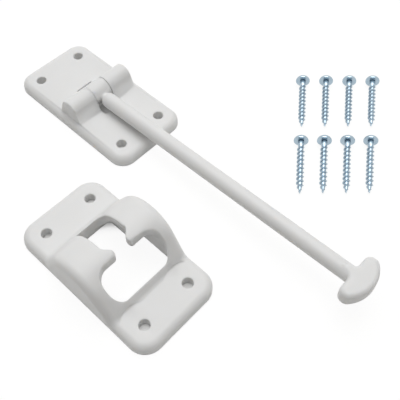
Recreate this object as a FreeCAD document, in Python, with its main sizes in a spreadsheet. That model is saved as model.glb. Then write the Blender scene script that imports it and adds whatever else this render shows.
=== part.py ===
import FreeCAD, Part
import math
import os
import Sketcher
from FreeCAD import Placement, Rotation, Vector

# Recreational vehicle door latch: a hinged arm with a T-shaped head, the catch plate that holds
# the head, and the eight screws that fix both plates.
#
# Millimetres. The origin is the centre of the hinge plate on its back face. X runs along both
# plates and along the arm, Y along the hinge's barrel, and Z away from the wall.

# Driving sizes: name, value, meaning
SIZES = [
    ("plate_thickness", 5.0, "both plates"),
    ("edge_round", 3.4, "rounded rim on the front of both plates"),
    ("hole_spacing_long", 57.2, "screw holes, along X"),
    ("hole_spacing_short", 23.4, "screw holes, along Y"),
    ("hole_diameter", 4.6, "screw holes"),
    ("hole_edge", 0.3, "bevel at each screw hole"),

    ("hinge_length", 75.0, "hinge plate, along X"),
    ("hinge_width", 39.6, "hinge plate, along Y"),
    ("hinge_corner", 7.0, "corner radius of the hinge plate"),
    ("axis_above_plate", 3.7, "hinge axis over the plate's front"),
    ("barrel_radius", 5.2, "crown of the barrel and the hub about the hinge axis"),
    ("barrel_angle", 69.0, "slope of the barrel's flanks, degrees"),
    ("barrel_length", 34.8, "barrel, along Y"),
    ("barrel_edge", 0.5, "bevelled ends of the barrel"),
    ("slot_length", 21.0, "slot that the hub swings through, along X"),
    ("slot_corner", 1.0, "corner radius of the slot"),

    ("pin_diameter", 3.2, "hinge pin"),
    ("pin_length", 30.0, "hinge pin"),
    ("pin_edge", 0.3, "bevel on the pin's ends"),
    ("pin_end_gap", 0.2, "free space past each end of the pin"),
    ("pin_clearance", 0.05, "radial running fit of the hub on the pin"),

    ("hub_width", 9.2, "hub of the arm, along Y"),
    ("hub_side_gap", 0.12, "running gap beside the hub"),
    ("hub_edge", 0.15, "bevelled rims of the hub"),
    ("rod_diameter", 7.1, "rod of the arm"),
    ("rod_shoulder", 3.0, "rounded end of the rod at the hub"),
    ("rod_start", 5.4, "hinge axis to the rod's rounded end"),
    ("throat_diameter", 4.8, "neck between hub and rod"),
    ("arm_reach", 152.9, "hinge axis to the far end of the head"),
    ("rest_angle", 2.35, "arm above the plate as it lies, degrees"),
    ("head_width", 21.2, "T-shaped head, across the rod"),
    ("head_depth", 9.3, "T-shaped head, along the rod"),
    ("head_thickness", 7.4, "T-shaped head"),
    ("head_side", 4.6, "straight ends of the head, along the rod"),
    ("head_corner_share", 0.65, "corner radius of the head, of its straight ends"),
    ("head_edge", 2.0, "rounded rims of the head"),
    ("neck_round", 2.3, "hollow curve between rod and head"),
    ("neck_half_width", 2.2, "root of the head inside the rod"),

    ("catch_x", 69.25, "catch plate's centre from the hinge plate's"),
    ("plate_gap", 12.2, "free space between the plates as laid out"),
    ("catch_length", 76.0, "catch plate, along X"),
    ("catch_width", 41.6, "catch plate, along Y"),
    ("catch_corner", 8.0, "corner radius of the catch plate"),
    ("hump_shift", 0.5, "crown of the hump from the plate's centre"),
    ("hump_height", 17.7, "crown of the hump over the plate's front"),
    ("hump_radius", 15.6, "curve of the hump's crown"),
    ("hump_angle", 58.0, "slope of the hump's flanks, degrees"),
    ("hump_foot_round", 2.5, "hollow curve at the hump's feet"),
    ("skin", 3.5, "wall of the hump"),
    ("land_bite", 1.0, "how far the seats for the screw heads cut into the hump's foot"),
    ("window_front", 18.0, "front edge of the window"),
    ("window_back", 7.0, "front edge of the fingers"),
    ("window_width", 29.6, "window for the head, along Y"),
    ("window_corner", 5.4, "corners of the window"),
    ("finger_gap", 6.9, "gap between the finger tips"),
    ("finger_back", 4.4, "back of the finger tips"),
    ("finger_root", 1.6, "where the fingers leave the slot's sides"),
    ("finger_tip_round", 1.4, "rounded finger tips"),
    ("finger_root_round", 2.6, "hollow curve behind each finger"),
    ("keep_width", 12.6, "slot for the rod behind the fingers"),
    ("keep_back", 17.0, "rear end of the slot and the pocket"),
    ("keep_corner", 3.0, "rear corners of the slot"),
    ("rim_bevel", 0.5, "bevelled rim of the opening"),
    ("pocket_width", 23.0, "pocket under the skin that keeps the head"),
    ("mouth_width", 32.2, "hollow under the window"),
    ("mouth_back", 4.0, "step from mouth to pocket behind the centre"),
    ("hollow_corner", 2.0, "corners of the hollow"),

    ("screw_head_diameter", 6.8, "pan head"),
    ("screw_head_height", 2.5, "pan head"),
    ("screw_crown_diameter", 3.6, "flat top of the head"),
    ("screw_thread_diameter", 3.5, "over the thread"),
    ("screw_length", 27.8, "under the head"),
    ("screw_taper", 4.6, "pointed end"),
    ("screw_tip", 0.5, "blunt tip, diameter"),
    ("first_row_x", 71.45, "middle of the first screw of the far row"),
    ("first_row_y", 47.7, "middle of the first screw of the far row, past the hinge plate's side"),
    ("first_row_step_x", 8.2, "from screw to screw in the far row"),
    ("first_row_step_y", 7.8, "from screw to screw in the far row"),
    ("second_row_x", 94.0, "middle of the first screw of the near row"),
    ("second_row_y", 16.7, "middle of the first screw of the near row, past the hinge plate's side"),
    ("second_row_step_x", 7.6, "from screw to screw in the near row"),
    ("second_row_step_y", 7.25, "from screw to screw in the near row"),
    ("screw_heading", -53.3, "way that the first screws point, degrees"),
    ("screw_heading_step", -1.15, "turn from screw to screw, degrees"),
]
SCREWS_IN_ROW = 4

# How far a cut runs past what it cuts
PAST = 1.0

# Slack when edges are picked by their place, the most that a flat or straight edge may stray,
# and what counts as nothing
SLACK = 0.01
STRAY = 0.001
NOTHING = 1e-6

# Places that follow from the sizes
AXIS_HEIGHT = "Sizes.plate_thickness + Sizes.axis_above_plate"
SLOT_WIDTH = "Sizes.hub_width + 2 * Sizes.hub_side_gap"
CATCH_Y = "-(Sizes.hinge_width / 2 + Sizes.plate_gap + Sizes.catch_width / 2)"
HUMP_CENTRE = "Sizes.plate_thickness + Sizes.hump_height - Sizes.hump_radius"
HUMP_FOOT = (
    "(Sizes.hump_shift + (Sizes.hump_radius + (Sizes.hump_height - Sizes.hump_radius)"
    " * cos(Sizes.hump_angle * 1 deg)) / sin(Sizes.hump_angle * 1 deg))"
)
LAND_DIAMETER = f"2 * (Sizes.hole_spacing_long / 2 - {HUMP_FOOT} + Sizes.land_bite)"
HEAD_BACK = "Sizes.arm_reach - Sizes.head_depth"
NECK_ROOT = f"{HEAD_BACK} - Sizes.neck_round - Sizes.neck_half_width"
HEAD_BULGE = "(Sizes.head_depth - Sizes.head_side)"
HEAD_CORNER = "Sizes.head_corner_share * Sizes.head_side"
HEAD_CURVE = f"((Sizes.head_width / 2) ^ 2 + {HEAD_BULGE} ^ 2) / (2 * {HEAD_BULGE})"

doc = FreeCAD.newDocument("rv_door_latch")
sheet = doc.addObject("Spreadsheet::Sheet", "Sizes")
reader = doc.addObject("App::FeaturePython", "Reader")


def fill_sheet():
    """Write the driving sizes to the sheet, one row each."""
    for row, (alias, value, meaning) in enumerate(SIZES, start=1):
        sheet.set(f"A{row}", alias)
        sheet.set(f"B{row}", str(value))
        sheet.set(f"C{row}", meaning)
        sheet.setAlias(f"B{row}", alias)
    doc.recompute()


def worth(expression):
    """Value of an expression of the sheet's sizes."""
    return float(reader.evalExpression(expression))


def new_body(name):
    body = doc.addObject("PartDesign::Body", name)
    body.Label = name
    return body


def new_sketch(body, name, plane):
    """Empty sketch on one of the body's own origin planes."""
    sketch = body.newObject("Sketcher::SketchObject", name)
    support = [item for item in body.Origin.OriginFeatures if item.Role == plane][0]
    sketch.AttachmentSupport = [(support, "")]
    sketch.MapMode = "FlatFace"
    return sketch


def tie(sketch, expression, *terms):
    """Add a constraint whose value follows the expression."""
    index = sketch.addConstraint(Sketcher.Constraint(*terms))
    sketch.setExpression(f"Constraints[{index}]", expression)


def hold_point(sketch, geometry, point, across, up):
    """Place a sketch point at two expressions, measured from the sketch's origin."""
    for kind, expression in (("DistanceX", across), ("DistanceY", up)):
        value = worth(expression)
        if abs(value) < NOTHING:
            axis = -2 if kind == "DistanceX" else -1
            sketch.addConstraint(Sketcher.Constraint("PointOnObject", geometry, point, axis))
        elif value > 0:
            tie(sketch, expression, kind, -1, 1, geometry, point, value)
        else:
            tie(sketch, f"-({expression})", kind, geometry, point, -1, 1, -value)


def draw_polygon(sketch, points):
    """Closed outline through points given as pairs of expressions."""
    places = [Vector(worth(across), worth(up), 0) for across, up in points]
    for start, end in zip(places, places[1:] + places[:1]):
        sketch.addGeometry(Part.LineSegment(start, end), False)
    for index in range(len(points)):
        following = (index + 1) % len(points)
        sketch.addConstraint(Sketcher.Constraint("Coincident", index, 2, following, 1))
    for index, (across, up) in enumerate(points):
        hold_point(sketch, index, 1, across, up)


def draw_rectangle(sketch, wide, high):
    """Rectangle about the sketch's origin."""
    left, right = f"-({wide}) / 2", f"({wide}) / 2"
    low, top = f"-({high}) / 2", f"({high}) / 2"
    draw_polygon(sketch, [(left, low), (right, low), (right, top), (left, top)])


def draw_circle(sketch, across, up, diameter):
    place = Vector(worth(across), worth(up), 0)
    circle = Part.Circle(place, Vector(0, 0, 1), worth(diameter) / 2)
    index = sketch.addGeometry(circle, False)
    tie(sketch, diameter, "Diameter", index, worth(diameter))
    hold_point(sketch, index, 3, across, up)


def draw_arch(sketch, across, up, radius, angle, foot):
    """Crown with a tangent flank on each side, closed by a straight line between the feet."""
    slope = math.radians(worth(angle))
    middle = Vector(worth(across), worth(up), 0)
    reach = Vector(worth(radius) * math.sin(slope), worth(radius) * math.cos(slope), 0)
    drop = middle.y + reach.y - worth(foot)
    run = reach.x + drop / math.tan(slope)
    left_foot = Vector(middle.x - run, worth(foot), 0)
    right_foot = Vector(middle.x + run, worth(foot), 0)
    left_top = Vector(middle.x - reach.x, middle.y + reach.y, 0)
    right_top = Vector(middle.x + reach.x, middle.y + reach.y, 0)
    circle = Part.Circle(middle, Vector(0, 0, 1), worth(radius))
    crown = sketch.addGeometry(Part.ArcOfCircle(circle, math.pi / 2 - slope, math.pi / 2 + slope), False)
    left = sketch.addGeometry(Part.LineSegment(left_foot, left_top), False)
    right = sketch.addGeometry(Part.LineSegment(right_foot, right_top), False)
    base = sketch.addGeometry(Part.LineSegment(left_foot, right_foot), False)
    sketch.addConstraint(Sketcher.Constraint("Tangent", left, 2, crown, 2))
    sketch.addConstraint(Sketcher.Constraint("Tangent", right, 2, crown, 1))
    sketch.addConstraint(Sketcher.Constraint("Coincident", base, 1, left, 1))
    sketch.addConstraint(Sketcher.Constraint("Coincident", base, 2, right, 1))
    sketch.addConstraint(Sketcher.Constraint("Horizontal", base))
    hold_point(sketch, crown, 3, across, up)
    tie(sketch, radius, "Radius", crown, worth(radius))
    tie(sketch, f"({angle}) * 1 deg", "Angle", left, slope)
    tie(sketch, f"180 deg - ({angle}) * 1 deg", "Angle", right, math.pi - slope)
    height = worth(foot)
    if abs(height) < NOTHING:
        sketch.addConstraint(Sketcher.Constraint("PointOnObject", left, 1, -1))
    elif height > 0:
        tie(sketch, foot, "DistanceY", -1, 1, left, 1, height)
    else:
        tie(sketch, f"-({foot})", "DistanceY", left, 1, -1, 1, -height)


def pad(body, sketch, length, symmetric=False):
    feature = body.newObject("PartDesign::Pad", f"{sketch.Name}_pad")
    feature.Profile = sketch
    feature.setExpression("Length", length)
    feature.SideType = "Symmetric" if symmetric else "One side"
    sketch.Visibility = False
    doc.recompute()
    return feature


def pocket(body, sketch, length=None, outward=False):
    """Cut to both sides of the sketch, right through or over a length, or outward only."""
    before = body.Shape.Volume
    feature = body.newObject("PartDesign::Pocket", f"{sketch.Name}_pocket")
    feature.Profile = sketch
    feature.SideType = "One side" if outward else "Symmetric"
    feature.Reversed = outward
    if length is None:
        feature.Type = "ThroughAll"
    else:
        feature.setExpression("Length", length)
    sketch.Visibility = False
    doc.recompute()
    if body.Shape.Volume > before - NOTHING:
        raise RuntimeError(f"{feature.Name} cuts nothing")
    return feature


def combine(body, kind, tool):
    """Boolean of the body with a tool body."""
    feature = body.newObject("PartDesign::Boolean", f"{tool.Name}_{kind.lower()}")
    feature.setObjects([tool])
    feature.Type = kind
    doc.recompute()
    return feature


def soften(body, kind, base, size, chosen):
    """Fillet or chamfer on the edges of the base that the test picks."""
    names = [f"Edge{index}" for index, edge in enumerate(base.Shape.Edges, start=1) if chosen(edge)]
    if not names:
        raise RuntimeError(f"no edge to soften on {base.Name}")
    feature = body.newObject(f"PartDesign::{kind}", f"{base.Name}_{kind.lower()}")
    feature.Base = (base, names)
    feature.setExpression("Radius" if kind == "Fillet" else "Size", size)
    doc.recompute()
    return feature


def middle_of(edge):
    return edge.valueAt((edge.FirstParameter + edge.LastParameter) / 2)


def near(first, second):
    return abs(first - second) < SLACK


def upright(edge):
    """True for a straight edge along Z."""
    return edge.BoundBox.XLength + edge.BoundBox.YLength < STRAY


def add_plate(body, length, width, corner):
    """Flat plate with rounded corners, standing on Z = 0."""
    sketch = new_sketch(body, f"{body.Name}_outline", "XY_Plane")
    draw_rectangle(sketch, length, width)
    plate = pad(body, sketch, "Sizes.plate_thickness")
    return soften(body, "Fillet", plate, corner, upright)


def add_screw_holes(body):
    sketch = new_sketch(body, f"{body.Name}_holes", "XY_Plane")
    for across in (-1, 1):
        for up in (-1, 1):
            draw_circle(
                sketch,
                f"{across} * Sizes.hole_spacing_long / 2",
                f"{up} * Sizes.hole_spacing_short / 2",
                "Sizes.hole_diameter",
            )
    holes = pocket(body, sketch)
    top = worth("Sizes.plate_thickness")
    radius = worth("Sizes.hole_diameter") / 2

    def hole_rim(edge):
        round_edge = isinstance(edge.Curve, Part.Circle) and near(edge.Curve.Radius, radius)
        return round_edge and near(edge.BoundBox.ZMin, top) and near(edge.BoundBox.ZMax, top)

    return soften(body, "Chamfer", holes, "Sizes.hole_edge", hole_rim)


def hinge_base():
    """Plate with a barrel across it, a slot for the hub and a channel behind for the pin."""
    body = new_body("hinge_base")
    plate = add_plate(body, "Sizes.hinge_length", "Sizes.hinge_width", "Sizes.hinge_corner")
    top = worth("Sizes.plate_thickness")
    soften(body, "Fillet", plate, "Sizes.edge_round", lambda edge: near(edge.BoundBox.ZMin, top))

    barrel = new_body("barrel")
    profile = new_sketch(barrel, "barrel_profile", "XZ_Plane")
    draw_arch(profile, "0", AXIS_HEIGHT, "Sizes.barrel_radius", "Sizes.barrel_angle",
              "Sizes.plate_thickness / 2")
    tube = pad(barrel, profile, "Sizes.barrel_length", symmetric=True)
    end = worth("Sizes.barrel_length") / 2

    def end_rim(edge):
        flat = edge.BoundBox.YLength < STRAY and near(abs(edge.BoundBox.YMin), end)
        return flat and edge.BoundBox.ZMax > top

    soften(barrel, "Chamfer", tube, "Sizes.barrel_edge", end_rim)
    combine(body, "Fuse", barrel)

    slot_tool = new_body("hub_slot")
    slot = new_sketch(slot_tool, "slot_outline", "XY_Plane")
    draw_rectangle(slot, "Sizes.slot_length", SLOT_WIDTH)
    block = pad(slot_tool, slot, f"2 * ({AXIS_HEIGHT} + Sizes.barrel_radius + {PAST})", symmetric=True)
    soften(slot_tool, "Fillet", block, "Sizes.slot_corner", upright)
    combine(body, "Cut", slot_tool)

    channel = new_sketch(body, "pin_channel", "XZ_Plane")
    draw_channel(channel)
    pocket(body, channel, "Sizes.pin_length + 2 * Sizes.pin_end_gap")
    add_screw_holes(body)
    return body


def draw_channel(sketch):
    """Round-topped channel, open at the back, that the pin is pushed into."""
    radius = worth("Sizes.pin_diameter") / 2
    middle = Vector(0, worth(AXIS_HEIGHT), 0)
    side = Vector(radius, 0, 0)
    low = Vector(0, -PAST, 0)
    circle = Part.Circle(middle, Vector(0, 0, 1), radius)
    crown = sketch.addGeometry(Part.ArcOfCircle(circle, 0, math.pi), False)
    left = sketch.addGeometry(Part.LineSegment(low - side, middle - side), False)
    right = sketch.addGeometry(Part.LineSegment(low + side, middle + side), False)
    base = sketch.addGeometry(Part.LineSegment(low - side, low + side), False)
    sketch.addConstraint(Sketcher.Constraint("Tangent", left, 2, crown, 2))
    sketch.addConstraint(Sketcher.Constraint("Tangent", right, 2, crown, 1))
    sketch.addConstraint(Sketcher.Constraint("Coincident", base, 1, left, 1))
    sketch.addConstraint(Sketcher.Constraint("Coincident", base, 2, right, 1))
    sketch.addConstraint(Sketcher.Constraint("Horizontal", base))
    sketch.addConstraint(Sketcher.Constraint("Vertical", left))
    sketch.addConstraint(Sketcher.Constraint("Vertical", right))
    hold_point(sketch, crown, 3, "0", AXIS_HEIGHT)
    tie(sketch, "Sizes.pin_diameter / 2", "Radius", crown, radius)
    sketch.addConstraint(Sketcher.Constraint("DistanceY", left, 1, -1, 1, PAST))


def hinge_pin():
    """Steel pin along Y, with a small bevel on each end."""
    body = new_body("hinge_pin")
    sketch = new_sketch(body, "pin_section", "XZ_Plane")
    draw_circle(sketch, "0", "0", "Sizes.pin_diameter")
    rod = pad(body, sketch, "Sizes.pin_length", symmetric=True)
    soften(body, "Chamfer", rod, "Sizes.pin_edge", lambda edge: edge.BoundBox.YLength < STRAY)
    body.setExpression("Placement.Base.z", AXIS_HEIGHT)
    return body


def holder_arm():
    """Hub, round rod and T-shaped head in one moulding, made along X from the hinge axis."""
    body = new_body("holder_arm")
    add_head(body)
    add_rod(body)
    add_hub(body)
    body.Placement = Placement(Vector(0, 0, 0), Rotation(Vector(0, -1, 0), worth("Sizes.rest_angle")))
    body.setExpression("Placement.Base.z", AXIS_HEIGHT)
    body.setExpression("Placement.Rotation.Angle", "Sizes.rest_angle")
    return body


def add_head(body):
    """T-shaped head: straight beside the rod, curved at its far side, rounded all over."""
    half = worth("Sizes.head_width") / 2
    radius = worth(HEAD_CURVE)
    reach = worth("Sizes.arm_reach")
    back = worth(HEAD_BACK)
    neck = worth("Sizes.neck_half_width")
    root = worth(NECK_ROOT)
    centre = Vector(reach - radius, 0, 0)
    swing = math.asin(half / radius)
    far = centre.x + radius * math.cos(swing)
    sketch = new_sketch(body, "head_outline", "XY_Plane")
    places = [
        Vector(far, half, 0), Vector(back, half, 0), Vector(back, neck, 0), Vector(root, neck, 0),
        Vector(root, -neck, 0), Vector(back, -neck, 0), Vector(back, -half, 0), Vector(far, -half, 0),
    ]
    for start, end in zip(places, places[1:]):
        sketch.addGeometry(Part.LineSegment(start, end), False)
    circle = Part.Circle(centre, Vector(0, 0, 1), radius)
    arc = sketch.addGeometry(Part.ArcOfCircle(circle, -swing, swing), False)
    last = arc - 1
    for index in range(last):
        sketch.addConstraint(Sketcher.Constraint("Coincident", index, 2, index + 1, 1))
    sketch.addConstraint(Sketcher.Constraint("Coincident", arc, 2, 0, 1))
    sketch.addConstraint(Sketcher.Constraint("Coincident", arc, 1, last, 2))
    for index in (0, 2, 4, 6):
        sketch.addConstraint(Sketcher.Constraint("Horizontal", index))
    for index, upper, lower in ((1, HEAD_BACK, "Sizes.head_width / 2"),
                                (3, NECK_ROOT, "Sizes.neck_half_width")):
        hold_point(sketch, index, 1, upper, lower)
    hold_point(sketch, 4, 1, NECK_ROOT, "-Sizes.neck_half_width")
    hold_point(sketch, 6, 1, HEAD_BACK, "-Sizes.head_width / 2")
    sketch.addConstraint(Sketcher.Constraint("Vertical", 1))
    sketch.addConstraint(Sketcher.Constraint("Vertical", 5))
    hold_point(sketch, arc, 3, f"Sizes.arm_reach - {HEAD_CURVE}", "0")
    tie(sketch, HEAD_CURVE, "Radius", arc, radius)
    block = pad(body, sketch, "Sizes.head_thickness", symmetric=True)

    def corner_at(across, up):
        def chosen(edge):
            place = middle_of(edge)
            return upright(edge) and near(place.x, across) and near(abs(place.y), up)
        return chosen

    hollow = soften(body, "Fillet", block, "Sizes.neck_round", corner_at(back, neck))
    beside = soften(body, "Fillet", hollow, HEAD_CORNER, corner_at(back, half))
    outer = soften(body, "Fillet", beside, HEAD_CORNER, corner_at(far, half))
    face = worth("Sizes.head_thickness") / 2

    def head_rim(edge):
        level = edge.BoundBox.ZLength < STRAY and near(abs(edge.BoundBox.ZMin), face)
        return level and edge.BoundBox.XMax > root + SLACK

    soften(body, "Fillet", outer, "Sizes.head_edge", head_rim)


def add_rod(body):
    """Round rod along X, turned about its axis, with a rounded shoulder at the hub."""
    radius = worth("Sizes.rod_diameter") / 2
    start = worth("Sizes.rod_start")
    bend = worth("Sizes.rod_shoulder")
    end = worth(f"{HEAD_BACK} + Sizes.head_edge")
    sketch = new_sketch(body, "rod_profile", "XZ_Plane")
    throat = worth("Sizes.throat_diameter") / 2
    root = worth("Sizes.pin_diameter")
    lean = math.asin((throat - radius + bend) / bend)
    centre = Vector(start + bend, radius - bend, 0)
    circle = Part.Circle(centre, Vector(0, 0, 1), bend)
    arc = sketch.addGeometry(Part.ArcOfCircle(circle, math.pi / 2, math.pi - lean), False)
    corners = [
        Vector(start + bend, radius, 0), Vector(end, radius, 0), Vector(end, 0, 0), Vector(root, 0, 0),
        Vector(root, throat, 0), Vector(centre.x - bend * math.cos(lean), throat, 0),
    ]
    lines = []
    for first, second in zip(corners, corners[1:]):
        lines.append(sketch.addGeometry(Part.LineSegment(first, second), False))
    sketch.addConstraint(Sketcher.Constraint("Tangent", arc, 1, lines[0], 1))
    sketch.addConstraint(Sketcher.Constraint("Coincident", arc, 2, lines[4], 2))
    for first, second in zip(lines, lines[1:]):
        sketch.addConstraint(Sketcher.Constraint("Coincident", first, 2, second, 1))
    sketch.addConstraint(Sketcher.Constraint("Horizontal", lines[0]))
    sketch.addConstraint(Sketcher.Constraint("Vertical", lines[1]))
    sketch.addConstraint(Sketcher.Constraint("Vertical", lines[3]))
    sketch.addConstraint(Sketcher.Constraint("Horizontal", lines[4]))
    hold_point(sketch, lines[1], 2, f"{HEAD_BACK} + Sizes.head_edge", "0")
    hold_point(sketch, lines[3], 1, "Sizes.pin_diameter", "0")
    tie(sketch, "Sizes.throat_diameter / 2", "DistanceY", lines[3], 1, lines[3], 2, throat)
    tie(sketch, "Sizes.rod_start + Sizes.rod_shoulder", "DistanceX", -1, 1, arc, 3, start + bend)
    tie(sketch, "Sizes.rod_diameter / 2", "DistanceY", lines[1], 2, lines[1], 1, radius)
    tie(sketch, "Sizes.rod_shoulder", "Radius", arc, bend)
    turned = body.newObject("PartDesign::Revolution", "rod")
    turned.Profile = sketch
    turned.ReferenceAxis = (sketch, ["H_Axis"])
    turned.Angle = 360
    sketch.Visibility = False
    doc.recompute()


def add_hub(body):
    """Hub about the hinge axis, with its bore."""
    sketch = new_sketch(body, "hub_section", "XZ_Plane")
    draw_circle(sketch, "0", "0", "2 * Sizes.barrel_radius")
    hub = pad(body, sketch, "Sizes.hub_width", symmetric=True)
    side = worth("Sizes.hub_width") / 2

    def hub_rim(edge):
        flat = edge.BoundBox.YLength < STRAY and near(abs(edge.BoundBox.YMin), side)
        return flat and isinstance(edge.Curve, Part.Circle)

    soften(body, "Chamfer", hub, "Sizes.hub_edge", hub_rim)
    bore = new_sketch(body, "hub_bore", "XZ_Plane")
    draw_circle(bore, "0", "0", "Sizes.pin_diameter + 2 * Sizes.pin_clearance")
    pocket(body, bore)


def catch_plate():
    """Plate with a hollow hump, open in front through a window, two fingers and a slot."""
    body = new_body("catch_plate")
    sketch = new_sketch(body, "catch_outline", "XY_Plane")
    draw_rectangle(sketch, "Sizes.catch_length", "Sizes.catch_width")
    pad(body, sketch, "Sizes.plate_thickness")
    profile = new_sketch(body, "hump_profile", "XZ_Plane")
    draw_arch(profile, "Sizes.hump_shift", HUMP_CENTRE, "Sizes.hump_radius", "Sizes.hump_angle", "0")
    hump = pad(body, profile, "Sizes.catch_width", symmetric=True)
    top = worth("Sizes.plate_thickness")
    side = worth("Sizes.catch_width") / 2
    end = worth("Sizes.catch_length") / 2

    def foot(edge):
        level = near(edge.BoundBox.ZMin, top) and near(edge.BoundBox.ZMax, top)
        return level and edge.BoundBox.XLength < STRAY and abs(edge.BoundBox.XMin) < end - SLACK

    feet = soften(body, "Fillet", hump, "Sizes.hump_foot_round", foot)
    corners = soften(body, "Fillet", feet, "Sizes.catch_corner", upright)

    def front_rim(edge):
        box = edge.BoundBox
        beside = box.YLength < STRAY and near(abs(box.YMin), side)
        around = box.ZLength < STRAY and max(abs(box.XMin), abs(box.XMax)) > end - SLACK
        return box.ZMin > top - SLACK and (beside or around)

    soften(body, "Fillet", corners, "Sizes.edge_round", front_rim)
    combine(body, "Cut", hollow_tool())
    opened = combine(body, "Cut", opening_tool())
    half_window = worth("Sizes.window_width") / 2
    back = worth("Sizes.keep_back")
    front = worth("Sizes.window_front")

    def opening_rim(edge):
        place = middle_of(edge)
        inside = -back - SLACK < place.x < front + SLACK and abs(place.y) < half_window + SLACK
        return inside and on_hump(place) and place.z > top

    soften(body, "Chamfer", opened, "Sizes.rim_bevel", opening_rim)
    cut_lands(body)
    add_screw_holes(body)
    body.setExpression("Placement.Base.x", "Sizes.catch_x")
    body.setExpression("Placement.Base.y", CATCH_Y)
    return body


def on_hump(place):
    """True for a point on the outer face of the hump's crown or flanks."""
    across = abs(place.x - worth("Sizes.hump_shift"))
    up = place.z - worth(HUMP_CENTRE)
    radius = worth("Sizes.hump_radius")
    slope = math.radians(worth("Sizes.hump_angle"))
    along_flank = across * math.cos(slope) > up * math.sin(slope)
    if along_flank:
        distance = across * math.sin(slope) + up * math.cos(slope)
    else:
        distance = math.hypot(across, up)
    return abs(distance - radius) < 2 * SLACK


def hollow_tool():
    """Space under the hump's skin: a wide mouth in front and the head's pocket behind it."""
    tool = new_body("hollow")
    plan = new_sketch(tool, "hollow_plan", "XY_Plane")
    mouth = "Sizes.mouth_width / 2"
    keep = "Sizes.pocket_width / 2"
    half = [
        ("Sizes.window_front", mouth), ("-Sizes.mouth_back", mouth),
        ("-Sizes.mouth_back", keep), ("-Sizes.keep_back", keep),
    ]
    other = [(across, f"-({up})") for across, up in reversed(half)]
    draw_polygon(plan, half + other)
    block = pad(tool, plan, f"2 * (Sizes.plate_thickness + Sizes.hump_height + {PAST})", symmetric=True)
    soften(tool, "Fillet", block, "Sizes.hollow_corner", upright)
    roof = new_body("roof")
    profile = new_sketch(roof, "roof_profile", "XZ_Plane")
    draw_arch(profile, "Sizes.hump_shift", HUMP_CENTRE, "Sizes.hump_radius - Sizes.skin",
              "Sizes.hump_angle", f"-{PAST}")
    pad(roof, profile, "Sizes.mouth_width", symmetric=True)
    combine(tool, "Common", roof)
    return tool


def opening_tool():
    """Keyhole through the skin: window, gap between the fingers and slot for the rod."""
    tool = new_body("opening")
    plan = new_sketch(tool, "opening_plan", "XY_Plane")
    window = "Sizes.window_width / 2"
    gap = "Sizes.finger_gap / 2"
    keep = "Sizes.keep_width / 2"
    half = [
        ("Sizes.window_front", window), ("Sizes.window_back", window), ("Sizes.window_back", gap),
        ("Sizes.finger_back", gap), ("Sizes.finger_root", keep), ("-Sizes.keep_back", keep),
    ]
    other = [(across, f"-({up})") for across, up in reversed(half)]
    draw_polygon(plan, half + other)
    block = pad(tool, plan, f"2 * (Sizes.plate_thickness + Sizes.hump_height + {PAST})", symmetric=True)

    def corner_at(*corners):
        places = [(worth(across), worth(up)) for across, up in corners]

        def chosen(edge):
            spot = middle_of(edge)
            return upright(edge) and any(near(spot.x, x) and near(abs(spot.y), y) for x, y in places)
        return chosen

    wide = soften(tool, "Fillet", block, "Sizes.window_corner", corner_at(half[0], half[1]))
    tips = soften(tool, "Fillet", wide, "Sizes.finger_tip_round", corner_at(half[2], half[3]))
    roots = soften(tool, "Fillet", tips, "Sizes.finger_root_round", corner_at(half[4]))
    soften(tool, "Fillet", roots, "Sizes.keep_corner", corner_at(half[5]))
    return tool


def cut_lands(body):
    """Round seats that clear the hump's front foot for the screw heads."""
    sketch = new_sketch(body, "lands", "XY_Plane")
    sketch.setExpression("AttachmentOffset.Base.z", "Sizes.plate_thickness")
    for up in (-1, 1):
        draw_circle(sketch, "Sizes.hole_spacing_long / 2", f"{up} * Sizes.hole_spacing_short / 2",
                    LAND_DIAMETER)
    doc.recompute()
    pocket(body, sketch, "Sizes.hump_height", outward=True)


def mounting_screw(number, row_x, row_y, step_x, step_y, place_in_row):
    """Pan-head screw that lies on its head's rim and on the end of its thread."""
    body = new_body(f"mounting_screw_{number}")
    sketch = new_sketch(body, f"screw_profile_{number}", "XZ_Plane")
    draw_polygon(sketch, [
        ("-Sizes.screw_head_height", "0"),
        ("-Sizes.screw_head_height", "Sizes.screw_crown_diameter / 2"),
        ("0", "Sizes.screw_head_diameter / 2"),
        ("0", "Sizes.screw_thread_diameter / 2"),
        ("Sizes.screw_length - Sizes.screw_taper", "Sizes.screw_thread_diameter / 2"),
        ("Sizes.screw_length", "Sizes.screw_tip / 2"),
        ("Sizes.screw_length", "0"),
    ])
    turned = body.newObject("PartDesign::Revolution", f"screw_{number}")
    turned.Profile = sketch
    turned.ReferenceAxis = (sketch, ["H_Axis"])
    turned.Angle = 360
    sketch.Visibility = False
    doc.recompute()

    head_radius = worth("Sizes.screw_head_diameter / 2")
    thread_radius = worth("Sizes.screw_thread_diameter / 2")
    head_top = worth("-Sizes.screw_head_height")
    length = worth("Sizes.screw_length")
    taper = worth("Sizes.screw_length - Sizes.screw_taper")
    tilt = math.atan2(head_radius - thread_radius, taper)
    turn = worth("Sizes.screw_heading") + place_in_row * worth("Sizes.screw_heading_step")
    heading = math.radians(turn)
    half_length = (length + head_top) / 2 * math.cos(tilt)
    middle_x = worth(row_x) + place_in_row * worth(step_x)
    middle_y = worth(f"Sizes.hinge_width / 2 + {row_y}") + place_in_row * worth(step_y)
    base = Vector(
        middle_x - half_length * math.cos(heading),
        middle_y - half_length * math.sin(heading),
        head_radius * math.cos(tilt),
    )
    body.Placement = Placement(base, Rotation(turn, math.degrees(tilt), 0))
    return body


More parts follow.
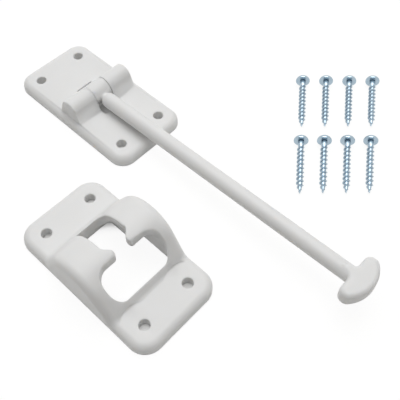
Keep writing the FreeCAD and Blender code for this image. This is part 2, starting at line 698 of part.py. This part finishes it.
def all_screws():
    """Two rows of four screws, laid out beside the plates."""
    rows = [
        ("Sizes.first_row_x", "Sizes.first_row_y", "Sizes.first_row_step_x", "Sizes.first_row_step_y"),
        ("Sizes.second_row_x", "Sizes.second_row_y", "Sizes.second_row_step_x", "Sizes.second_row_step_y"),
    ]
    screws = []
    for row_number, row in enumerate(rows):
        for place_in_row in range(SCREWS_IN_ROW):
            number = row_number * SCREWS_IN_ROW + place_in_row + 1
            screws.append(mounting_screw(number, *row, place_in_row))
    return screws


def check(parts):
    """Stop if anything in the document failed or a sub-part has no sound shape."""
    for item in doc.Objects:
        if "Invalid" in item.State or "Error" in item.State:
            raise RuntimeError(f"{item.Name} failed: {item.State}")
    for part in parts:
        if part.Shape.isNull() or not part.Shape.isValid():
            raise RuntimeError(f"{part.Label} has no valid shape")
        if len(part.Shape.Solids) != 1:
            raise RuntimeError(f"{part.Label} has {len(part.Shape.Solids)} solids")


fill_sheet()
parts = [hinge_base(), hinge_pin(), holder_arm(), catch_plate()] + all_screws()
doc.recompute()
check(parts)
os.makedirs("parts", exist_ok=True)
for part in parts:
    part.Shape.exportStep(f"parts/{part.Label}.step")
    print(f"{part.Label}: {part.Shape.Volume:.1f} cubic millimetres")
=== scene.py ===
import math

import bmesh
import bpy
from mathutils import Matrix, Vector


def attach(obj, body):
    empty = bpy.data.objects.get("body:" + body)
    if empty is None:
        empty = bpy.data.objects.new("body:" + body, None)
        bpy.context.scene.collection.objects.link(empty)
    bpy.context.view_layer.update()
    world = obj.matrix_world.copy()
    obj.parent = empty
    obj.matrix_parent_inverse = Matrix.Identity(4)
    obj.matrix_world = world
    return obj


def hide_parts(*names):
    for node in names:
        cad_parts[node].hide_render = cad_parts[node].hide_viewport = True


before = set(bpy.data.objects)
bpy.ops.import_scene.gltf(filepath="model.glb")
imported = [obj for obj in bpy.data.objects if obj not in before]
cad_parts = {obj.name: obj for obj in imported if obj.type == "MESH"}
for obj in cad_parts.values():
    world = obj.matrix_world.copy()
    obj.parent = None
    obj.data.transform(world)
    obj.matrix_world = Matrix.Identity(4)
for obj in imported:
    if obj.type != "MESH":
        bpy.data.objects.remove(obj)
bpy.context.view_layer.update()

# Recreational vehicle door latch: the white mouldings are smoothed copies of the solids, and the
# eight screws get their threads, crowned heads and cross recesses here.

MM = 0.001
PLATES = "plates_and_screws"
ARM = "arm"

# Where the photograph was taken from, and the lens, for a 400 by 400 picture
CAMERA_PLACE = Vector((163.65, -109.90, 210.0)) * MM
CAMERA_HEADING = math.radians(41.4275)
CAMERA_TILT = math.radians(90 - 56.895)
CAMERA_ROLL = math.radians(1.67)
CAMERA_NEAREST = 0.01
CAMERA_FARTHEST = 20.0
SENSOR = 36.0
FOCAL_PIXELS = 576.25
PICTURE = 400

# The floor is a sheet of paper. This share of its look is its own white, this bright, so that it
# keeps only soft shadows. Near the pieces it turns to plain paper, between the two open shares.
FLOOR_HALF = 3.0
FLOOR_GLOW = 0.85
FLOOR_WHITE = 1.08
FLOOR_SHADE_REACH = 0.018
FLOOR_SHUT_IN = 0.16
FLOOR_OPEN = 0.28

# The sky's light, from the side of the camera and from over and behind the object
SKY_NEAR = 0.10
SKY_FAR = 0.46
SKY_TOWARDS = Vector((-0.45, 0.55, 0.70)).normalized()
SKY_TINT = (1.0, 0.98, 0.95, 1)

# The two softboxes: name, place, side and power.
SOFTBOXES = [
    ("key_softbox", (-0.30, 0.30, 1.00), 1.0, 5.2),
    ("top_softbox", (0.0, 0.1, 1.0), 0.8, 2.7),
]
SOFTBOX_TINT = (0.98, 0.99, 1.0)
MIDDLE = (0.06, 0.0, 0.0)

# Points of a solid that are nearer than this become one, and edges over so many degrees stay sharp
FACET_SEAM = 0.002 * MM
SOLID_CREASE = 35
SCREW_CREASE = 38

# The screws, in millimetres and degrees, where the solids lie
SCREW_HEAD_RADIUS = 3.4
SCREW_HEAD_HEIGHT = 2.5
SCREW_LENGTH = 27.8
SCREW_TAPER = 4.6
SCREW_CREST = 1.75
SCREW_ROOT = 1.16
SCREW_NECK = 1.40
SCREW_PITCH = 2.24
SCREW_HEADING = -53.3
SCREW_HEADING_STEP = -1.15
SCREW_ROWS = [((71.45, 67.5), (8.2, 7.8)), ((94.0, 36.5), (7.6, 7.25))]
SCREWS_IN_ROW = 4
RECESS_DEPTH = 1.5
RECESS_LENGTH = 3.8
RECESS_WIDTH = 0.95

# Half the width of the thread's ridge, as a share of the pitch, and where along the shank, in
# millimetres, the thread starts, is full, and runs out before the tip
RIDGE_HALF = 0.13
THREAD_START = 2.2
THREAD_FULL = 3.8
THREAD_RUNOUT = 0.9

# How full the point's taper is: 1 is a straight cone
TIP_FULLNESS = 0.72

# How open to the outside the zinc is where its painted root shade is darkest, and the mark on
# the faces kept free of that painted shade: those under the head, up to this height in millimetres
ROOT_SHADE_OPENNESS = 0.80
UNDERSIDE = "underside_of_head"
UNDERSIDE_HEIGHT = 0.3

# The crowned head from the middle of its top over the rim to the middle of its underside: how
# far out, as a share of its radius, and how far up, as a share of its height
HEAD_OUTWARD = ((0, 0), (0.15, 0.24), (0.35, 0.56), (0.55, 0.82), (0.7, 0.96), (0.78, 1.0),
                (0.84, 0.985), (0.88, 0.93), (1, 0))
HEAD_UPWARD = ((0, 1.0), (0.15, 0.985), (0.35, 0.90), (0.55, 0.69), (0.7, 0.42), (0.78, 0.22),
               (0.84, 0.05), (0.88, 0.0), (1, 0))

# Faces round a screw and along it, and the gap that is closed where its sheets meet
AROUND = 36
ROWS_IN_TURN = 12
TURNS = 14
HEAD_ROWS = 20
SHEET_SEAM = 0.004 * MM


# Node trees

class Nodes:
    """A short way to write a material's or a shape's node tree."""

    def __init__(self, tree):
        self.tree = tree

    def add(self, kind, sockets=None, **settings):
        node = self.tree.nodes.new(kind)
        for name, value in settings.items():
            setattr(node, name, value)
        for key, value in (sockets or {}).items():
            if isinstance(value, bpy.types.NodeSocket):
                self.tree.links.new(value, node.inputs[key])
            else:
                node.inputs[key].default_value = value
        return node

    def math(self, operation, first, second=None, third=None, clamp=False):
        sockets = {0: first}
        if second is not None:
            sockets[1] = second
        if third is not None:
            sockets[2] = third
        return self.add("ShaderNodeMath", sockets, operation=operation, use_clamp=clamp).outputs[0]

    def link(self, output, socket):
        self.tree.links.new(output, socket)


# The sockets of a Mix node that mixes colours
FIRST_COLOUR = 6
SECOND_COLOUR = 7
MIXED_COLOUR = 2


def colour_between(nodes, share, low, high):
    """Mix of two colours, each three numbers or another node's colour."""
    sockets = {0: share}
    for key, colour in ((FIRST_COLOUR, low), (SECOND_COLOUR, high)):
        sockets[key] = (*colour, 1) if isinstance(colour, tuple) else colour
    return nodes.add("ShaderNodeMix", sockets, data_type="RGBA").outputs[MIXED_COLOUR]


def value_between(nodes, share, low, high, start=0.0, end=1.0):
    spread = nodes.add("ShaderNodeMapRange", {"Value": share, "From Min": start, "From Max": end,
                                              "To Min": low, "To Max": high})
    return spread.outputs[0]


def shader_between(nodes, share, low, high):
    return nodes.add("ShaderNodeMixShader", {0: share, 1: low.outputs[0], 2: high.outputs[0]})


def seen_directly(nodes):
    """1 for rays that show the background itself: to the camera, in gloss or through glass."""
    path = nodes.add("ShaderNodeLightPath")
    seen = nodes.math("MAXIMUM", path.outputs["Is Camera Ray"], path.outputs["Is Glossy Ray"])
    return nodes.math("MAXIMUM", seen, path.outputs["Is Transmission Ray"])


# Materials

def empty_material(name):
    material = bpy.data.materials.new(name)
    material.use_nodes = True
    material.node_tree.nodes.clear()
    return material, Nodes(material.node_tree)


def coat(nodes, tone, gloss, bump, constants):
    """Give the material a principled shader: three inputs are linked, the others constant."""
    shader = nodes.add("ShaderNodeBsdfPrincipled", {
        "Base Color": tone, "Roughness": gloss, "Normal": bump.outputs[0], **constants})
    nodes.add("ShaderNodeOutputMaterial", {"Surface": shader.outputs[0]})


def moulded_plastic():
    """White weatherproof plastic: a fine satin mould texture, faint flow marks and soft edges."""
    material, nodes = empty_material("white_moulded_plastic")
    place = nodes.add("ShaderNodeTexCoord").outputs["Object"]
    grain = nodes.add("ShaderNodeTexNoise", {"Vector": place, "Scale": 1900.0, "Detail": 3.0,
                                             "Roughness": 0.6})
    flow = nodes.add("ShaderNodeTexNoise", {"Vector": place, "Scale": 38.0, "Detail": 4.0,
                                            "Distortion": 0.8})
    scuff = nodes.add("ShaderNodeTexNoise", {"Vector": place, "Scale": 240.0, "Detail": 2.0})
    tone = colour_between(nodes, flow.outputs[0], low=(0.765, 0.765, 0.762),
                          high=(0.800, 0.800, 0.797))
    gloss = value_between(nodes, scuff.outputs[0], low=0.38, high=0.50)
    edge = nodes.add("ShaderNodeBevel", {"Radius": 0.8 * MM}, samples=6)
    flow_share = 0.6
    height = nodes.math("MULTIPLY_ADD", flow.outputs[0], flow_share, grain.outputs[0])
    bump = nodes.add("ShaderNodeBump", {"Height": height, "Normal": edge.outputs[0],
                                        "Strength": 0.10, "Distance": 0.05 * MM})
    coat(nodes, tone, gloss, bump, {
        "IOR": 1.49, "Specular IOR Level": 0.42, "Subsurface Weight": 0.45,
        "Subsurface Radius": (1.0, 0.95, 0.88), "Subsurface Scale": 3.0 * MM})
    return material


def drawn_steel():
    """Steel of the hinge pin, with drawing marks along it."""
    material, nodes = empty_material("drawn_pin_steel")
    place = nodes.add("ShaderNodeTexCoord").outputs["Object"]
    stretched = nodes.add("ShaderNodeMapping", {"Vector": place, "Scale": (3000.0, 90.0, 3000.0)})
    marks = nodes.add("ShaderNodeTexNoise", {"Vector": stretched.outputs[0], "Scale": 1.0,
                                             "Detail": 3.0})
    tone = colour_between(nodes, marks.outputs[0], low=(0.42, 0.43, 0.44), high=(0.60, 0.61, 0.62))
    gloss = value_between(nodes, marks.outputs[0], low=0.22, high=0.38)
    bump = nodes.add("ShaderNodeBump", {"Height": marks.outputs[0], "Strength": 0.15,
                                        "Distance": 0.03 * MM})
    coat(nodes, tone, gloss, bump, {"Metallic": 1.0})
    return material


def bright_zinc():
    """Bright blue zinc plate on the screws, duller in patches; painted shade in thread roots."""
    material, nodes = empty_material("bright_blue_zinc")
    place = nodes.add("ShaderNodeTexCoord").outputs["Object"]
    patches = nodes.add("ShaderNodeTexNoise", {"Vector": place, "Scale": 420.0, "Detail": 4.0,
                                               "Distortion": 0.5})
    fine = nodes.add("ShaderNodeTexNoise", {"Vector": place, "Scale": 3200.0, "Detail": 2.0})
    plate = colour_between(nodes, patches.outputs[0], low=(0.31, 0.41, 0.49),
                           high=(0.48, 0.58, 0.65))
    # Painted shade: the colour darkens towards near black where occlusion finds the zinc shut in
    root_shade_ao = nodes.add("ShaderNodeAmbientOcclusion", {"Distance": 0.6 * MM}, samples=8,
                       only_local=True)
    unshaded_share = value_between(nodes, root_shade_ao.outputs["AO"], low=0.0, high=1.0,
                                 start=ROOT_SHADE_OPENNESS, end=1.0)
    # The underside of the head is kept free of the painted shade
    under_head = nodes.add("ShaderNodeAttribute", attribute_name=UNDERSIDE)
    bright = nodes.math("MAXIMUM", unshaded_share, under_head.outputs["Fac"])
    # Painted shade: near black where shut in, the plate's own colour elsewhere
    tone = colour_between(nodes, bright, low=(0.04, 0.08, 0.13), high=plate)
    gloss = value_between(nodes, patches.outputs[0], low=0.16, high=0.28)
    bump = nodes.add("ShaderNodeBump", {"Height": fine.outputs[0], "Strength": 0.12,
                                        "Distance": 0.03 * MM})
    coat(nodes, tone, gloss, bump, {"Metallic": 1.0})
    return material


# Pieces

def smooth_by_angle(mesh, degrees):
    mesh.shade_smooth()
    mesh.set_sharp_from_angle(angle=math.radians(degrees))


def new_object(name, mesh):
    piece = bpy.data.objects.new(name, mesh)
    bpy.context.scene.collection.objects.link(piece)
    return piece


def baked(carrier, name):
    """Plain mesh of an object with its modifiers applied. The object itself goes."""
    bpy.context.view_layer.update()
    graph = bpy.context.evaluated_depsgraph_get()
    mesh = bpy.data.meshes.new_from_object(carrier.evaluated_get(graph))
    bpy.data.objects.remove(carrier)
    mesh.name = name
    return mesh


def dressed_solid(node, body, name, material):
    """Copy of a solid with its facets joined and shaded smooth, in the given material."""
    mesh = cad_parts[node].data.copy()
    mesh.name = name
    work = bmesh.new()
    work.from_mesh(mesh)
    bmesh.ops.remove_doubles(work, verts=work.verts, dist=FACET_SEAM)
    work.to_mesh(mesh)
    work.free()
    mesh.materials.clear()
    mesh.materials.append(material)
    smooth_by_angle(mesh, SOLID_CREASE)
    carrier = new_object(name, mesh)
    flats = carrier.modifiers.new("flat_faces_stay_flat", "WEIGHTED_NORMAL")
    flats.mode = "FACE_AREA"
    flats.weight = 100
    flats.keep_sharp = True
    piece = new_object(name, baked(carrier, name))
    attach(piece, body)
    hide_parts(node)


def screw_tree(material):
    """Shape tree of one screw: threaded shank, crowned head and cross recess, in its place."""
    tree = bpy.data.node_groups.new("screw_shape", "GeometryNodeTree")
    inputs = {}
    sizes = ("Head Radius", "Head Height", "Length", "Taper", "Crest", "Root", "Neck", "Pitch")
    for label, kind in (("Geometry", "Geometry"), *((size, "Float") for size in sizes),
                        ("Place", "Vector"), ("Turn", "Vector")):
        socket = tree.interface.new_socket(label, in_out="INPUT", socket_type=f"NodeSocket{kind}")
        inputs[label] = socket.identifier
    tree.interface.new_socket("Geometry", in_out="OUTPUT", socket_type="NodeSocketGeometry")
    nodes = Nodes(tree)
    given = nodes.add("NodeGroupInput").outputs
    shank = threaded_shank(nodes, given)
    head = crowned_head(nodes, given)
    whole = nodes.add("GeometryNodeJoinGeometry")
    nodes.link(shank, whole.inputs[0])
    nodes.link(head, whole.inputs[0])
    point = nodes.add("GeometryNodePoints", {"Count": 1, "Position": given["Place"]})
    laid = nodes.add("GeometryNodeInstanceOnPoints", {
        "Points": point.outputs[0], "Instance": whole.outputs[0], "Rotation": given["Turn"]})
    real = nodes.add("GeometryNodeRealizeInstances", {"Geometry": laid.outputs[0]})
    zinc = nodes.add("GeometryNodeSetMaterial", {"Geometry": real.outputs[0], "Material": material})
    nodes.add("NodeGroupOutput", {0: zinc.outputs[0]})
    return tree, inputs


def point_place(nodes):
    """X, Y and Z of a shape's points."""
    position = nodes.add("GeometryNodeInputPosition")
    return nodes.add("ShaderNodeSeparateXYZ", {0: position.outputs[0]}).outputs


def flat_sheet(nodes, rows):
    """A sheet of 1 by 1 in that many rows, and how far across and up each of its points is."""
    sheet = nodes.add("GeometryNodeMeshGrid", {"Size X": 1.0, "Size Y": 1.0,
                                               "Vertices X": AROUND + 1, "Vertices Y": rows + 1})
    place = point_place(nodes)
    return sheet.outputs[0], place[0], nodes.math("ADD", place[1], 0.5)


def rolled(nodes, sheet, turn, along, radius):
    """Roll a sheet round the screw's axis, from share of a turn to place, and close its seams."""
    angle = nodes.math("MULTIPLY", turn, 2 * math.pi)
    place = nodes.add("ShaderNodeCombineXYZ", {
        0: along,
        1: nodes.math("MULTIPLY", radius, nodes.math("COSINE", angle)),
        2: nodes.math("MULTIPLY", radius, nodes.math("SINE", angle)),
    })
    moved = nodes.add("GeometryNodeSetPosition", {"Geometry": sheet, "Position": place.outputs[0]})
    return nodes.add("GeometryNodeMergeByDistance", {"Geometry": moved.outputs[0],
                                                     "Distance": SHEET_SEAM}).outputs[0]


def threaded_shank(nodes, given):
    """A sheet rolled with its rows along the helix, so that the thread's ridge stays clean."""
    rows = ROWS_IN_TURN * TURNS
    sheet, across, up = flat_sheet(nodes, rows)
    around = nodes.math("ADD", across, 0.5)
    row = nodes.math("ROUND", nodes.math("MULTIPLY", up, float(rows)))
    turn = nodes.math("DIVIDE", row, float(ROWS_IN_TURN))
    climb = nodes.math("SUBTRACT", nodes.math("ADD", turn, around), 1.0)
    reach = nodes.math("MULTIPLY", climb, given["Pitch"])
    along = nodes.math("MINIMUM", nodes.math("MAXIMUM", reach, 0.0), given["Length"])
    off_crest = nodes.math("ABSOLUTE", nodes.math("SUBTRACT", nodes.math("FRACT", turn), 0.5))
    ridge = nodes.math("SUBTRACT", 1.0, nodes.math("DIVIDE", off_crest, RIDGE_HALF), clamp=True)
    past_start = nodes.math("SUBTRACT", along, THREAD_START * MM)
    fade_in = nodes.math("DIVIDE", past_start, (THREAD_FULL - THREAD_START) * MM, clamp=True)
    to_tip = nodes.math("SUBTRACT", given["Length"], along)
    fade_out = nodes.math("DIVIDE", to_tip, THREAD_RUNOUT * MM, clamp=True)
    ridge = nodes.math("MULTIPLY", nodes.math("MULTIPLY", ridge, fade_in), fade_out)
    taper = nodes.math("DIVIDE", to_tip, given["Taper"], clamp=True)
    below_neck = nodes.math("SUBTRACT", given["Root"], given["Neck"])
    core = nodes.math("MULTIPLY_ADD", below_neck, fade_in, given["Neck"])
    over_core = nodes.math("SUBTRACT", given["Crest"], core)
    thick = nodes.math("MULTIPLY_ADD", over_core, ridge, core)
    radius = nodes.math("MULTIPLY", thick, nodes.math("POWER", taper, TIP_FULLNESS))
    return rolled(nodes, sheet, around, along, radius)


def crowned_head(nodes, given):
    """A sheet rolled into the crowned head, cut by two crossed blades."""
    sheet, across, up = flat_sheet(nodes, HEAD_ROWS)
    outward = profile(nodes, up, HEAD_OUTWARD)
    upward = profile(nodes, up, HEAD_UPWARD)
    radius = nodes.math("MULTIPLY", outward, given["Head Radius"])
    height = nodes.math("MULTIPLY", upward, given["Head Height"])
    crown = rolled(nodes, sheet, across, nodes.math("MULTIPLY", height, -1.0), radius)
    cut = nodes.add("GeometryNodeMeshBoolean", {"Mesh 1": crown}, operation="DIFFERENCE")
    top = nodes.add("ShaderNodeCombineXYZ", {0: nodes.math("MULTIPLY", given["Head Height"], -1.0)})
    for sides in ((RECESS_LENGTH, RECESS_WIDTH), (RECESS_WIDTH, RECESS_LENGTH)):
        size = Vector((2 * RECESS_DEPTH, *sides)) * MM
        blade = nodes.add("GeometryNodeMeshCube", {"Size": size})
        held = nodes.add("GeometryNodeTransform", {"Geometry": blade.outputs[0],
                                                   "Translation": top.outputs[0]})
        nodes.link(held.outputs[0], cut.inputs["Mesh 2"])
    # Faces under the head are marked, so that the zinc's painted root shade leaves them bright
    low = nodes.math("GREATER_THAN", point_place(nodes)[0], -UNDERSIDE_HEIGHT * MM)
    marked = nodes.add("GeometryNodeStoreNamedAttribute", {
        "Geometry": cut.outputs[0], "Name": UNDERSIDE, "Value": low})
    return marked.outputs[0]


def profile(nodes, share, points):
    """A curve through points that are given from left to right, read at a share of its way."""
    node = nodes.add("ShaderNodeFloatCurve", {"Value": share})
    curve = node.mapping.curves[0]
    while len(curve.points) < len(points):
        curve.points.new(0.5, 0.5)
    for point, place in zip(curve.points, points):
        point.location = place
    node.mapping.update()
    return node.outputs[0]


def lay_screw(number, row, place_in_row, tree, inputs):
    """One screw on its head's rim and its thread's end, as the solid of that number lies."""
    (first_x, first_y), (step_x, step_y) = row
    tilt = math.atan2(SCREW_HEAD_RADIUS - SCREW_CREST, SCREW_LENGTH - SCREW_TAPER)
    heading = math.radians(SCREW_HEADING + place_in_row * SCREW_HEADING_STEP)
    half = (SCREW_LENGTH - SCREW_HEAD_HEIGHT) / 2 * math.cos(tilt)
    place = Vector((
        first_x + place_in_row * step_x - half * math.cos(heading),
        first_y + place_in_row * step_y - half * math.sin(heading),
        SCREW_HEAD_RADIUS * math.cos(tilt),
    )) * MM
    turn = (Matrix.Rotation(heading, 3, "Z") @ Matrix.Rotation(tilt, 3, "Y")).to_euler()
    values = {
        "Head Radius": SCREW_HEAD_RADIUS * MM, "Head Height": SCREW_HEAD_HEIGHT * MM,
        "Length": SCREW_LENGTH * MM, "Taper": SCREW_TAPER * MM, "Crest": SCREW_CREST * MM,
        "Root": SCREW_ROOT * MM, "Neck": SCREW_NECK * MM, "Pitch": SCREW_PITCH * MM,
        "Place": place, "Turn": Vector(turn),
    }
    carrier = new_object("screw_carrier", bpy.data.meshes.new("screw_carrier"))
    shape = carrier.modifiers.new("screw_shape", "NODES")
    shape.node_group = tree
    for label, value in values.items():
        shape[inputs[label]] = value
    mesh = baked(carrier, f"threaded_screw_{number}")
    outward_faces(mesh)
    smooth_by_angle(mesh, SCREW_CREASE)
    piece = new_object(mesh.name, mesh)
    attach(piece, PLATES)
    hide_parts(f"mounting_screw_{number}")


def outward_faces(mesh):
    work = bmesh.new()
    work.from_mesh(mesh)
    bmesh.ops.recalc_face_normals(work, faces=work.faces)
    work.to_mesh(mesh)
    work.free()


# The place where the picture is taken

def place_camera():
    data = bpy.data.cameras.new("photo_camera")
    data.sensor_width = SENSOR
    data.lens = FOCAL_PIXELS / PICTURE * SENSOR
    data.clip_start = CAMERA_NEAREST
    data.clip_end = CAMERA_FARTHEST
    camera = new_object("photo_camera", data)
    turn = (Matrix.Rotation(CAMERA_HEADING, 4, "Z") @ Matrix.Rotation(CAMERA_TILT, 4, "X")
            @ Matrix.Rotation(CAMERA_ROLL, 4, "Z"))
    camera.matrix_world = Matrix.Translation(CAMERA_PLACE) @ turn
    bpy.context.scene.camera = camera


def paper():
    """The floor's pale paper, with its own white where it is seen and stands open."""
    material, nodes = empty_material("studio_floor")
    # Its white is only for rays that reach it by themselves: as a lamp it would leave grain
    material.cycles.emission_sampling = "NONE"
    place = nodes.add("ShaderNodeTexCoord").outputs["Object"]
    dust = nodes.add("ShaderNodeTexNoise", {"Vector": place, "Scale": 60.0, "Detail": 2.0})
    tone = colour_between(nodes, dust.outputs[0], low=(0.70, 0.695, 0.68), high=(0.74, 0.735, 0.72))
    matt = nodes.add("ShaderNodeBsdfDiffuse", {"Color": tone})
    white = nodes.add("ShaderNodeEmission", {"Color": (1, 1, 1, 1), "Strength": FLOOR_WHITE})
    sky = nodes.add("ShaderNodeAmbientOcclusion", {"Distance": FLOOR_SHADE_REACH}, samples=16)
    standing_open = value_between(nodes, sky.outputs["AO"], low=0.0, high=1.0,
                                  start=FLOOR_SHUT_IN, end=FLOOR_OPEN)
    glow = nodes.math("MULTIPLY", standing_open, FLOOR_GLOW)
    share = nodes.math("MULTIPLY", seen_directly(nodes), glow)
    both = shader_between(nodes, share, matt, white)
    nodes.add("ShaderNodeOutputMaterial", {"Surface": both.outputs[0]})
    return material


def lay_floor():
    mesh = bpy.data.meshes.new("studio_floor")
    corners = [(-FLOOR_HALF, -FLOOR_HALF, 0.0), (FLOOR_HALF, -FLOOR_HALF, 0.0),
               (FLOOR_HALF, FLOOR_HALF, 0.0), (-FLOOR_HALF, FLOOR_HALF, 0.0)]
    mesh.from_pydata(corners, [], [(0, 1, 2, 3)])
    mesh.materials.append(paper())
    new_object("studio_floor", mesh)


def fill_world():
    """Pale light from all round, stronger from behind, and a white background where it is seen."""
    world = bpy.data.worlds.new("studio_world")
    bpy.context.scene.world = world
    world.use_nodes = True
    world.node_tree.nodes.clear()
    nodes = Nodes(world.node_tree)
    way = nodes.add("ShaderNodeTexCoord").outputs["Generated"]
    towards = nodes.add("ShaderNodeVectorMath", {0: way, 1: SKY_TOWARDS}, operation="DOT_PRODUCT")
    strength = value_between(nodes, towards.outputs["Value"], low=SKY_NEAR, high=SKY_FAR,
                             start=-1.0, end=1.0)
    light = nodes.add("ShaderNodeBackground", {"Color": SKY_TINT, "Strength": strength})
    white = nodes.add("ShaderNodeBackground", {"Color": (1, 1, 1, 1), "Strength": 1.0})
    both = shader_between(nodes, seen_directly(nodes), light, white)
    nodes.add("ShaderNodeOutputWorld", {"Surface": both.outputs[0]})


def hang_softbox(name, place, side, power):
    data = bpy.data.lights.new(name, "AREA")
    data.shape = "RECTANGLE"
    data.size = side
    data.size_y = side
    data.energy = power
    data.color = SOFTBOX_TINT
    lamp = new_object(name, data)
    lamp.location = place
    lamp.rotation_euler = (Vector(MIDDLE) - Vector(place)).to_track_quat("-Z", "Y").to_euler()


bpy.context.scene.view_settings.view_transform = "Standard"
place_camera()
lay_floor()
fill_world()
for softbox in SOFTBOXES:
    hang_softbox(*softbox)

plastic = moulded_plastic()
dressed_solid("hinge_base", PLATES, "moulded_hinge_plate", plastic)
dressed_solid("catch_plate", PLATES, "moulded_catch_plate", plastic)
dressed_solid("holder_arm", ARM, "moulded_arm", plastic)
dressed_solid("hinge_pin", PLATES, "turned_hinge_pin", drawn_steel())

tree, inputs = screw_tree(bright_zinc())
for row_number, row in enumerate(SCREW_ROWS):
    for place_in_row in range(SCREWS_IN_ROW):
        number = row_number * SCREWS_IN_ROW + place_in_row + 1
        lay_screw(number, row, place_in_row, tree, inputs)
bpy.data.node_groups.remove(tree)
